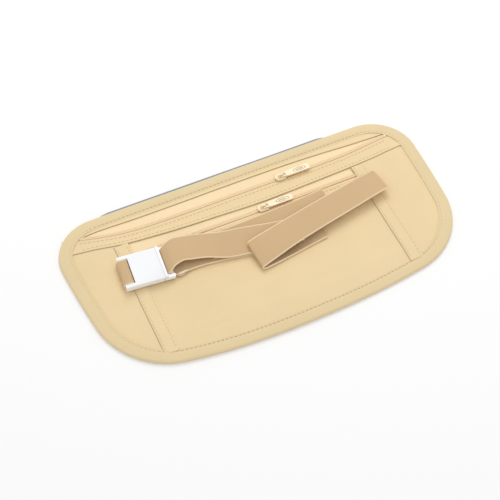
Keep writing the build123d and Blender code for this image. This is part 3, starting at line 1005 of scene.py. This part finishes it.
def puck(shell: Shell, loop: np.ndarray, low: float, high: float, soft: float) -> None:
    """A flat piece with rounded edges: its outline, drawn in by a circle's curve near both faces.

    Args:
        shell: Takes the piece.
        loop: Its outline, anticlockwise.
        low: Height of its underside.
        high: Height of its top.
        soft: Radius of its edges.
    """
    along = unit(np.roll(loop, -1, axis=0) - np.roll(loop, 1, axis=0))
    normal = np.stack([along[:, 1], -along[:, 0]], axis=1)
    turn = np.linspace(0, np.pi / 2, 5)
    middle = loop.mean(axis=0)
    rings = [np.column_stack([middle + (loop - middle) * s, np.full(len(loop), high)])
             for s in (0.3, 0.7)]
    rings.append(np.column_stack([loop - normal * soft * 1.15, np.full(len(loop), high)]))
    rings += [np.column_stack([loop - normal * soft * (1 - np.sin(a)),
                               np.full(len(loop), high - soft * (1 - np.cos(a)))]) for a in turn]
    rings += [np.column_stack([loop - normal * soft * (1 - np.cos(a)),
                               np.full(len(loop), low + soft * (1 - np.sin(a)))]) for a in turn]
    rings += [np.column_stack([middle + (loop - middle) * s, np.full(len(loop), low)])
              for s in (0.7, 0.3)]
    shell.tube(np.stack(rings))


def annulus(shell: Shell, outer: np.ndarray, inner: np.ndarray, low: float, high: float,
            soft: float, mark: float = 0.0) -> None:
    """A flat ring between two outlines with as many points, with rounded edges.

    Across the ring, the section is a slab whose corners are quarter circles. The mark, 0 to 1, is
    how far the ring is darkened.
    """
    turn = np.linspace(0, np.pi / 2, 4)
    across = unit(outer - inner)
    steps = [(outer, -soft * (1 - np.cos(a)), low + soft * (1 - np.sin(a))) for a in turn[::-1]]
    steps += [(outer, -soft * (1 - np.cos(a)), high - soft * (1 - np.sin(a))) for a in turn]
    steps += [(outer, -soft * 1.2, high), (inner, soft * 1.2, high)]
    steps += [(inner, soft * (1 - np.cos(a)), high - soft * (1 - np.sin(a))) for a in turn[::-1]]
    steps += [(inner, soft * (1 - np.cos(a)), low + soft * (1 - np.sin(a))) for a in turn]
    rings = [np.column_stack([line + across * move, np.full(len(line), z)])
             for line, move, z in steps]
    rings = np.stack(rings, axis=1)
    shell.tube(rings, loop=True, inside=np.full(rings.shape[:2], mark))


def rounded_box(x: float, y: float, half_x: float, half_y: float, power: float = 5.0,
                count: int = 48) -> np.ndarray:
    """A superellipse: |x/a|^p + |y/b|^p = 1."""
    turn = np.arange(count) / count * TAU
    c, s = np.cos(turn), np.sin(turn)
    size = (np.abs(c) ** power + np.abs(s) ** power) ** (-1 / power)
    return np.stack([x + half_x * size * c, y + half_y * size * s], axis=1)


@dataclass
class Zip:
    """One zip: two tapes, two rows of coils, two ends, a slider and its pull."""
    name: str
    pouch: Pouch
    line: Callable
    x_low: float
    x_high: float
    slider_x: float
    above: float
    below: float
    tape_top: float = 3.2
    pitch: float = 1.3
    run_on: float = 2.5

    def frame_at(self, x: np.ndarray) -> tuple[np.ndarray, np.ndarray]:
        """Points on the zip's line and the sideways direction there."""
        y = self.line(x)
        slope = np.gradient(y, x)
        across = unit(np.stack([-slope, np.ones_like(slope)], axis=1))
        return np.stack([x, y], axis=1), across

    def tapes(self) -> None:
        """The two woven tapes, from the middle line outwards, under the cloth beside them."""
        x = np.arange(self.x_low - self.run_on, self.x_high + self.run_on + 0.1, 1.5)
        spot, across = self.frame_at(x)
        _, high = self.pouch.outline.span(5.0)
        for side, width, word in ((1, self.above, "upper"), (-1, self.below, "lower")):
            out = np.linspace(0.06, 1.0, 12) ** 1.2
            reach = np.full(len(x), width)
            if side > 0:
                room = np.maximum(high(x) - spot[:, 1], 2.2)
                reach = np.minimum(reach, room)
            away = out[None, :] * reach[:, None]
            flat = spot[:, None, :] + side * away[..., None] * across[:, None, :]
            lay = self.pouch.drape.lay(flat[..., 0], flat[..., 1])
            top = self.tape_top + lay
            upper = np.concatenate([flat, top[..., None]], axis=-1)
            lower = np.concatenate([flat, (top - 0.4)[..., None]], axis=-1)
            rings = np.concatenate([upper, lower[:, ::-1]], axis=1)
            around = side * np.concatenate([out * width, out[::-1] * width, out[:1] * width])
            shell = Shell()
            shell.tube(rings, x, around)
            piece = shell.finish(f"{self.name}_{word}_tape_cloth", self.pouch.finishes.tape)
            assign(piece, "pouch", f"{self.name}_{word}_tape")

    def coils(self) -> None:
        """The meshed coils: a low ridge on each side of the line, with a turn every pitch.

        The ridge's section is a rounded hump; its height and its inner edge swing with the sine
        of the distance along, and the two sides are half a turn apart.
        """
        x = np.arange(self.x_low + 1.0, self.x_high - 1.0, self.pitch / 6)
        spot, across = self.frame_at(x)
        lay = self.pouch.drape.lay(spot[:, 0], spot[:, 1])
        section = np.array([[0.0, 0.02], [0.0, 0.5], [0.12, 0.72], [0.45, 0.84], [0.85, 0.78],
                            [1.12, 0.55], [1.25, 0.25], [1.27, 0.0]])
        for side, word, phase in ((1, "upper", 0.0), (-1, "lower", np.pi)):
            wave = np.sin(TAU * x / self.pitch + phase)
            inner = 0.02 + 0.03 * (1 + wave)
            out = inner[:, None] + section[None, :, 0] * (1 - inner[:, None] / 1.3)
            rise = section[None, :, 1] * (0.95 + 0.06 * wave)[:, None]
            flat = spot[:, None, :] + side * out[..., None] * across[:, None, :]
            z = self.tape_top - 0.02 + rise + lay[:, None]
            shell = Shell()
            shell.tube(np.concatenate([flat, z[..., None]], axis=-1), x,
                       np.linspace(0.0, 2.0, 9) * side)
            piece = shell.finish(f"{self.name}_{word}_coil_row", self.pouch.finishes.coil)
            assign(piece, "pouch", f"{self.name}_{word}_coil")

    def ends(self) -> None:
        """The end stops: a rounded staple over the coils at each end."""
        shell = Shell()
        for x in (self.x_low + 2.0, self.x_high - 2.0):
            y = float(self.line(np.array([x, x + 1.0]))[0])
            base = self.tape_top + float(self.pouch.drape.lay(np.array([x]), np.array([y]))[0])
            puck(shell, rounded_box(x, y, 0.8, 1.6), base - 0.1, base + 1.0, 0.3)
        piece = shell.finish(f"{self.name}_stops", self.pouch.finishes.slider)
        assign(piece, "pouch", f"{self.name}_end_stops")

    def slider(self) -> None:
        """The slider above the tapes: a crowned body, side flanges and the arch for the pull."""
        x, y = self.slider_x, float(self.line(np.array([self.slider_x, self.slider_x + 1]))[0])
        shell = Shell()
        body = rounded_box(x, y, 4.3, 3.1, 3.2)
        body[:, 1] = y + (body[:, 1] - y) * (1 - 0.16 * ramp(x - body[:, 0], 0.0, 4.3))
        puck(shell, body, 4.45, 5.3, 0.4)
        puck(shell, rounded_box(x, y, 3.4, 2.0, 3.0), 5.1, 5.55, 0.3)
        for side in (-1, 1):
            puck(shell, rounded_box(x - 0.3, y + side * 2.6, 3.2, 0.4, 4.0), 4.16, 4.85, 0.18)
        arch = smooth_line([(-1.85, 0, 5.2), (-1.85, 0, 6.3), (-1.2, 0, 6.98), (0, 0, 7.1),
                            (1.2, 0, 6.98), (1.85, 0, 6.3), (1.85, 0, 5.2)], 0.15)
        along = unit(np.gradient(arch, axis=0))
        out = np.cross(along, [0.0, 1.0, 0.0])
        turn = np.arange(16) / 16 * TAU
        wide, thick = 0.75, 0.32
        rings = (arch[:, None, :] + np.array([x, y, 0.0])
                 + wide * np.sign(np.cos(turn))[None, :, None] * (np.abs(np.cos(turn)) ** 0.6)[
                     None, :, None] * np.array([0.0, 1.0, 0.0])
                 + thick * np.sin(turn)[None, :, None] * out[:, None, :])
        shell.tube(rings)
        piece = shell.finish(f"{self.name}_slider_body", self.pouch.finishes.slider)
        assign(piece, self.name.replace("_zip", "_slider"), f"{self.name}_slider")

    def pull(self) -> None:
        """The pull: a flat tab with a window for the arch, a widening body and a pressed oval.

        The tab's outline and its window are sampled at the same angles about the window's middle,
        which are those of even steps along the outline.
        """
        x, y = self.slider_x, float(self.line(np.array([self.slider_x, self.slider_x + 1]))[0])
        count, fine, window_x, mark_x = 96, 4001, x + 2.05, x + 14.6
        edge = rounded_box(x + 10.95, y, 11.6, 1.0, 9.0, fine)
        width = 1.95 + 0.5 * ramp(edge[:, 0] - x, 2.0, 6.0)
        edge[:, 1] = y + (edge[:, 1] - y) * width
        edge = edge[np.argsort(np.arctan2(edge[:, 1] - y, edge[:, 0] - window_x))]
        length = np.cumsum(np.linalg.norm(np.diff(edge, axis=0, prepend=edge[:1]), axis=1))
        spread = np.linspace(0, length[-1], count, endpoint=False)
        outer = np.stack([np.interp(spread, length, edge[:, k]) for k in (0, 1)], axis=1)
        angle = np.arctan2(outer[:, 1] - y, outer[:, 0] - window_x)
        c, s = np.cos(angle), np.sin(angle)
        size = (np.abs(c / 1.5) ** 7 + np.abs(s / 1.0) ** 7) ** (-1 / 7)
        window = np.stack([window_x + size * c, y + size * s], axis=1)
        shell = Shell()
        annulus(shell, outer, window, 5.5, 6.35, 0.25)
        for out_x, out_y, in_x, in_y, power, soft in ((5.0, 1.6, 4.45, 1.15, 2.4, 0.1),
                                                      (3.0, 0.6, 2.5, 0.2, 2.0, 0.08)):
            ring = rounded_box(mark_x, y, out_x, out_y, power, 64)
            inner = rounded_box(mark_x, y, in_x, in_y, power, 64)
            annulus(shell, ring, inner, 6.1, 6.42, soft, 1.0)
        piece = shell.finish(f"{self.name}_pull_tab", self.pouch.finishes.slider)
        assign(piece, self.name.replace("_zip", "_pull"), f"{self.name}_pull")

    def build(self) -> None:
        """Makes the zip's pieces."""
        self.tapes()
        self.coils()
        self.ends()
        self.slider()
        self.pull()
        log.info("zip %s", self.name)


# ---- buckle --------------------------------------------------------------------------------

@dataclass
class Buckle:
    """The clip buckle: softened copies of the CAD halves."""
    finishes: Finishes
    x: float = -86.5
    y: float = 11.5
    angle: float = -5.5
    edge: float = 0.42

    def world(self, local: np.ndarray) -> np.ndarray:
        """Points given along the buckle (u), across it (v) and up, in the belt's frame."""
        turn = np.radians(self.angle)
        local = np.asarray(local, float)
        u, v = local[..., 0], local[..., 1]
        return np.stack([self.x + u * np.cos(turn) - v * np.sin(turn),
                         self.y + u * np.sin(turn) + v * np.cos(turn), local[..., 2]], axis=-1)

    def soften(self, node: str, name: str, body: str) -> None:
        """A copy of a CAD half whose sharp edges are rounded.

        Args:
            node: The CAD node.
            name: The piece's name.
            body: The body that it rides on.
        """
        shape = bmesh.new()
        shape.from_mesh(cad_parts[node].data)
        bmesh.ops.remove_doubles(shape, verts=shape.verts, dist=3e-6)
        bmesh.ops.dissolve_limit(shape, angle_limit=np.radians(2.0), verts=shape.verts,
                                 edges=shape.edges)
        sharp = [e for e in shape.edges if len(e.link_faces) == 2
                 and e.calc_face_angle(0.0) > np.radians(40.0)]
        bmesh.ops.bevel(shape, geom=sharp, offset=self.edge * MM, segments=3, profile=0.5,
                        affect="EDGES", clamp_overlap=True)
        bmesh.ops.recalc_face_normals(shape, faces=shape.faces)
        mesh = bpy.data.meshes.new(name)
        shape.to_mesh(mesh)
        shape.free()
        mesh.shade_smooth()
        mesh.set_sharp_from_angle(angle=np.radians(38.0))
        piece = place(name, mesh, self.finishes.plastic)
        assign(piece, body, node)

    def build(self) -> None:
        """Makes both halves."""
        self.soften("buckle_socket_half", "buckle_socket", "pouch")
        self.soften("buckle_plug_half", "buckle_plug_and_tongue", "buckle_plug")
        log.info("buckle")


# ---- the strap -----------------------------------------------------------------------------

@dataclass
class Strap:
    """The elastic strap: ruled ribbons between two edge lines, with a rounded section."""
    finishes: Finishes
    buckle: Buckle
    thickness: float = 1.0
    step: float = 0.55
    across: int = 15
    blend_start: tuple = (-0.012, 0.004, 0.006)
    blend_end: tuple = (-0.062, 0.009, 0.006)
    end_turn: float = 11.8
    end_start: tuple = (-13.0, -9.9)
    end_shift: float = 3.3

    def on_end(self, along: float, across: float) -> np.ndarray:
        """The x and y of a point on the sewn end, from places along it and across it."""
        turn = np.radians(self.end_turn)
        way, side = np.array([np.cos(turn), np.sin(turn)]), np.array([-np.sin(turn), np.cos(turn)])
        return np.array(self.end_start) + along * way + (across + self.end_shift) * side

    def ribbon(self, name: str, stations: Sequence, inner_side: int, darken: Optional[Callable] = None,
               cup: float = 0.25) -> tuple[bpy.types.Object, float]:
        """One stretch of strap.

        A point of the ribbon's middle surface lies on the straight line between the two edges,
        raised in the middle by a shallow parabola. The section adds half the thickness on each
        side of it, along its normal, and a half circle at each edge.

        Args:
            name: The piece's name.
            stations: Rows of (far edge x, y, z, near edge x, y, z).
            inner_side: Which side, 1 or -1, is the inner side of the strap's folds.
            darken: Share of the darker inner colour, mostly painted shade, on the inner side along the
                strap, 0 to 1.
            cup: How far the middle is raised.

        Returns:
            The piece and its length.
        """
        line = smooth_line(stations, self.step)
        far, near = line[:, None, :3], line[:, None, 3:]
        share = np.linspace(0, 1, self.across)[None, :, None]
        middle = far + (near - far) * share
        along = np.gradient(middle, axis=0)
        normal = unit(np.cross(along, near - far))
        middle = middle + cup * (4 * share * (1 - share)) * normal
        half = self.thickness / 2
        outward_far, outward_near = unit(far - near)[:, 0], unit(near - far)[:, 0]
        bend = np.linspace(0, np.pi, 6)[1:-1]
        first = middle + half * normal
        second = middle - half * normal
        near_tip = (middle[:, -1:] + outward_near[:, None] * half * np.sin(bend)[None, :, None]
                    + normal[:, -1:] * half * np.cos(bend)[None, :, None])
        far_tip = (middle[:, :1] + outward_far[:, None] * half * np.sin(bend)[None, :, None]
                   - normal[:, :1] * half * np.cos(bend)[None, :, None])
        rings = np.concatenate([first, near_tip, second[:, ::-1], far_tip], axis=1)
        v = np.linspace(0, STRAP_WIDTH, self.across)
        around = np.concatenate([v, np.full(len(bend), STRAP_WIDTH + OUTSIDE), v[::-1],
                                 np.full(len(bend), -OUTSIDE), v[:1]])
        centre = (line[:, :3] + line[:, 3:]) / 2
        at = np.concatenate([[0.0], np.cumsum(np.linalg.norm(np.diff(centre, axis=0), axis=1))])
        inside = np.zeros(rings.shape[:2])
        # Painted shade on the inner side of the strap's folds.
        if darken is not None:
            start = 0 if inner_side > 0 else self.across + len(bend)
            inside[:, start:start + self.across] = darken(at)[:, None]
        shell = Shell()
        shell.tube(rings, at, around, inside=inside)
        piece = shell.finish(name, self.finishes.webbing)
        log.info("ribbon %s, %.0f mm", name, at[-1])
        return piece, float(at[-1])

    def stations(self, points: Sequence[tuple[float, float]]) -> np.ndarray:
        """Rows of far and near edges from (u, z) points in the buckle's frame."""
        u, z = np.asarray(points, float).T
        return np.hstack([self.buckle.world(np.column_stack([u, np.full(len(u), side), z]))
                          for side in (STRAP_WIDTH / 2, -STRAP_WIDTH / 2)])

    def tab(self) -> None:
        """The short tab that holds the socket half: a loop round its bar and a sewn tail."""
        points = [(-2.3, 4.95), (-8.0, 4.95), (-12.2, 4.97), (-14.3, 5.6), (-15.1, 7.0),
                  (-14.6, 8.3), (-13.2, 9.1), (-11.2, 9.3), (-9.3, 8.9), (-8.3, 8.0),
                  (-8.0, 7.0), (-8.1, 6.2)]
        piece, _ = self.ribbon("buckle_tab_webbing", self.stations(points), 1, cup=0.12)
        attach(piece, "pouch")
        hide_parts("buckle_tab")

    def buckle_run(self) -> None:
        """The strap from under the bundle to the plug half's bar, round it and back."""
        world = self.buckle.world
        bar = [((20.2, 12.9, 11.0), (20.2, -7.7, 11.0)), ((18.3, 11.9, 10.4), (18.4, -9.0, 10.0)),
               ((16.8, 11.1, 9.5), (16.9, -9.8, 9.0)), ((15.7, 10.6, 8.5), (15.7, -9.9, 8.2)),
               ((15.25, 10.2, 7.4), (15.25, -9.9, 7.3)), ((15.6, 10.1, 6.4), (15.6, -9.9, 6.35)),
               ((16.8, 10.1, 5.9), (16.8, -9.9, 5.85)), ((19.0, 10.1, 5.75), (19.0, -10.0, 5.7)),
               ((22.5, 9.4, 5.55), (22.5, -11.9, 5.55))]
        rows = [(26.0, 8.0, 6.3, 23.0, -11.0, 6.0), (8.0, 10.4, 7.5, 5.0, -9.4, 5.9),
                (-13.5, 14.8, 8.3, -16.4, -5.9, 6.0), (-27.3, 16.9, 8.8, -31.0, -2.9, 6.5),
                (-38.0, 19.9, 9.4, -43.0, 1.3, 8.5), (-49.1, 22.6, 10.2, -53.4, 3.4, 9.9),
                (-60.6, 23.9, 11.2, -61.0, 4.0, 11.0)]
        rows += [(*world(far), *world(near)) for far, near in bar]
        rows += [(-57.0, 18.6, 5.1, -58.8, -1.2, 5.35), (-50.0, 18.6, 4.85, -52.0, -0.9, 5.0),
                 (-36.0, 17.4, 4.6, -38.0, -2.2, 4.7), (-21.0, 14.8, 4.5, -23.0, -4.8, 4.55),
                 (-11.0, 12.9, 4.4, -12.5, -6.8, 4.4)]
        piece, _ = self.ribbon("strap_buckle_run_webbing", rows, -1, cup=0.1)
        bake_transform(piece)
        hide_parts("strap_buckle_run")

    def lower_run(self) -> None:
        """The run that lies lowest, along the lower zip."""
        rows = [(-40.0, 19.9, 4.75, -39.5, 0.3, 4.75), (-28.0, 20.4, 4.95, -27.5, 0.4, 4.9),
                (4.0, 21.4, 4.9, 5.0, 1.4, 4.8), (33.0, 22.6, 5.1, 34.0, 2.6, 4.9),
                (53.4, 24.0, 5.1, 54.2, 4.0, 4.9)]
        piece, _ = self.ribbon("strap_lower_run_webbing", rows, 1, cup=0.15)
        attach(piece, "pouch")
        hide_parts("strap_lower_run")

    def bundle(self) -> None:
        """The folded bundle: the free end, the open left fold, the top and the right fold."""
        rows = [(38.8, 5.4, 6.4, 38.9, -14.7, 4.9), (24.0, 3.4, 6.9, 25.0, -16.6, 4.75),
                (8.0, 1.2, 7.6, 10.0, -18.9, 4.8), (-8.0, -0.7, 7.9, -6.0, -21.0, 5.0),
                (-12.6, -0.6, 8.0, -10.6, -21.4, 5.15), (-14.4, -0.2, 8.6, -12.3, -21.2, 5.7),
                (-14.0, 0.2, 9.5, -12.0, -20.7, 6.35), (-11.0, 1.0, 10.1, -9.6, -20.0, 6.8),
                (-2.0, 2.9, 10.3, -0.8, -17.9, 7.8), (12.4, 5.9, 10.3, 12.4, -14.8, 9.2),
                (38.3, 11.3, 10.1, 37.4, -9.2, 9.8), (66.0, 16.9, 9.2, 66.5, -3.2, 9.9),
                (89.0, 21.5, 8.0, 91.0, 1.9, 9.9), (93.0, 22.3, 7.6, 94.8, 2.7, 9.5),
                (93.7, 22.4, 6.9, 95.3, 3.1, 8.8), (91.8, 22.3, 6.3, 93.0, 3.7, 8.2),
                (66.0, 17.6, 7.6, 66.0, -1.9, 8.5), (44.0, 13.4, 8.6, 43.8, -6.0, 8.7)]
        # Painted shade: the bundle's inner side darkens inside the open left fold and fades out at both
        # ends.
        piece, _ = self.ribbon(
            "strap_bundle_webbing", rows, 1,
            lambda s: (0.2 + 0.65 * ramp(s, 4.0, 34.0)) * (1 - ramp(s, 92.0, 110.0)), cup=0.0)
        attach(piece, "pouch")
        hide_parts("strap_folded_bundle")

    def sewn_end(self) -> None:
        """The end that is sewn to the right seam strip."""
        half = STRAP_WIDTH / 2
        rows = [(*self.on_end(s, half), z, *self.on_end(s, -half), z)
                for s, z in ((68.0, 4.75), (80.0, 4.9), (95.0, 4.95), (104.0, 4.9))]
        piece, _ = self.ribbon("strap_sewn_end_webbing", rows, 1, cup=0.1)
        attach(piece, "pouch")
        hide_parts("strap_sewn_end")

    def tacks(self, sewing: Sewing) -> None:
        """The zigzag bar tack by the plug half, and the box and cross through the sewn end."""
        shell = Shell()
        count = 13
        s = np.linspace(0, 1, count)
        x = -66.2 + 7.4 * s
        y = -1.9 + 0.7 * s + 1.15 * np.sqrt(np.maximum(1 - (2 * s - 1) ** 2, 0.25)) * (
            -1.0) ** np.arange(count)
        z = 6.5 - 0.3 * s
        for k in range(count - 1):
            path = np.array([[x[k], y[k], z[k]], [x[k + 1], y[k + 1], z[k + 1]]])
            sewing.row(shell, path, pitch=5.0, length=float(np.linalg.norm(path[1] - path[0])),
                       radius=0.45)
        piece = shell.finish("bar_tack", self.finishes.strap_thread)
        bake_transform(piece)
        shell = Shell()
        corners = [self.on_end(a, b) for a, b in
                   ((92, -8), (102, -8), (102, 8), (92, 8), (92, -8), (102, 8), (102, -8), (92, 8))]
        for a, b in zip(corners[:-1], corners[1:]):
            path = np.array([[*a, 5.5], [*b, 5.5]])
            sewing.row(shell, path, pitch=2.4, length=1.9, radius=0.22)
        piece = shell.finish("sewn_end_stitches", self.finishes.strap_thread)
        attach(piece, "pouch")

    def build(self, sewing: Sewing) -> None:
        """Makes every stretch of strap."""
        self.tab()
        self.buckle_run()
        self.lower_run()
        self.bundle()
        self.sewn_end()
        self.tacks(sewing)


# ---- the set -------------------------------------------------------------------------------

@dataclass
class Studio:
    """A plain pale floor, soft light and the camera."""
    target: tuple = (0.0, 0.00645, 0.0)
    azimuth: float = -25.09
    elevation: float = 52.58
    distance: float = 0.8938
    lens: float = 93.6
    shift: tuple = (-0.0255, -0.0247)

    def floor(self) -> None:
        """A wide pale floor, just under the belt."""
        mesh = bpy.data.meshes.new("floor")
        size = 4.0
        mesh.from_pydata([(-size, -size, -0.0002), (size, -size, -0.0002), (size, size, -0.0002),
                          (-size, size, -0.0002)], [], [(0, 1, 2, 3)])
        material = bpy.data.materials.new("studio_floor")
        material.use_nodes = True
        shader = material.node_tree.nodes["Principled BSDF"]
        shader.inputs["Base Color"].default_value = (0.99, 0.99, 0.99, 1.0)
        shader.inputs["Roughness"].default_value = 0.9
        shader.inputs["Specular IOR Level"].default_value = 0.1
        place("floor", mesh, material)

    def light(self, name: str, spot: tuple, aim: tuple, size: float, power: float) -> None:
        """One square soft light."""
        lamp = bpy.data.lights.new(name, "AREA")
        lamp.size = size
        lamp.energy = power
        holder = bpy.data.objects.new(name, lamp)
        holder.location = spot
        holder.rotation_euler = (Vector(aim) - Vector(spot)).to_track_quat("-Z", "Y").to_euler()
        bpy.context.scene.collection.objects.link(holder)

    def lights(self) -> None:
        """A broad key from behind and above, a fill from the front and an even sky."""
        self.light("key", (0.4, 0.8, 0.95), (0.04, 0, 0), 0.7, 5.4)
        self.light("fill", (-0.2, -0.9, 1.3), (0, 0, 0), 1.2, 1.1)
        world = bpy.data.worlds.new("sky")
        world.use_nodes = True
        world.node_tree.nodes["Background"].inputs[0].default_value = (1.0, 1.0, 1.0, 1.0)
        world.node_tree.nodes["Background"].inputs[1].default_value = 0.77
        bpy.context.scene.world = world
        bpy.context.scene.view_settings.view_transform = "Standard"

    def camera(self) -> None:
        """The camera, on a sphere round its target."""
        az, el = np.radians(self.azimuth), np.radians(self.elevation)
        way = np.array([np.sin(az) * np.cos(el), -np.cos(az) * np.cos(el), np.sin(el)])
        data = bpy.data.cameras.new("camera")
        data.lens = self.lens
        data.shift_x, data.shift_y = self.shift
        data.clip_start = 0.01
        holder = bpy.data.objects.new("camera", data)
        holder.location = np.array(self.target) + self.distance * way
        holder.rotation_euler = Vector(-way).to_track_quat("-Z", "Y").to_euler()
        bpy.context.scene.collection.objects.link(holder)
        bpy.context.scene.camera = holder

    def build(self) -> None:
        """Sets the stage."""
        self.floor()
        self.lights()
        self.camera()


def main() -> None:
    """Builds the belt and the set."""
    finishes = Finishes()
    outline = Outline()
    drape = Drape(outline)
    sewing = Sewing()
    pouch = Pouch(outline, drape, finishes, sewing)
    pouch.build()
    Zip("upper_zip", pouch, pouch.zip_line, x_low=-121.0, x_high=121.5, slider_x=33.0,
        above=12.0, below=4.5).build()
    Zip("lower_zip", pouch, lambda x: np.full_like(x, LOWER_ZIP_Y), x_low=-92.0, x_high=87.0,
        slider_x=10.0, above=14.0, below=12.0).build()
    buckle = Buckle(finishes)
    buckle.build()
    Strap(finishes, buckle).build(sewing)
    Studio().build()


if __name__ == "__main__":
    logging.basicConfig(level=logging.INFO)
    main()
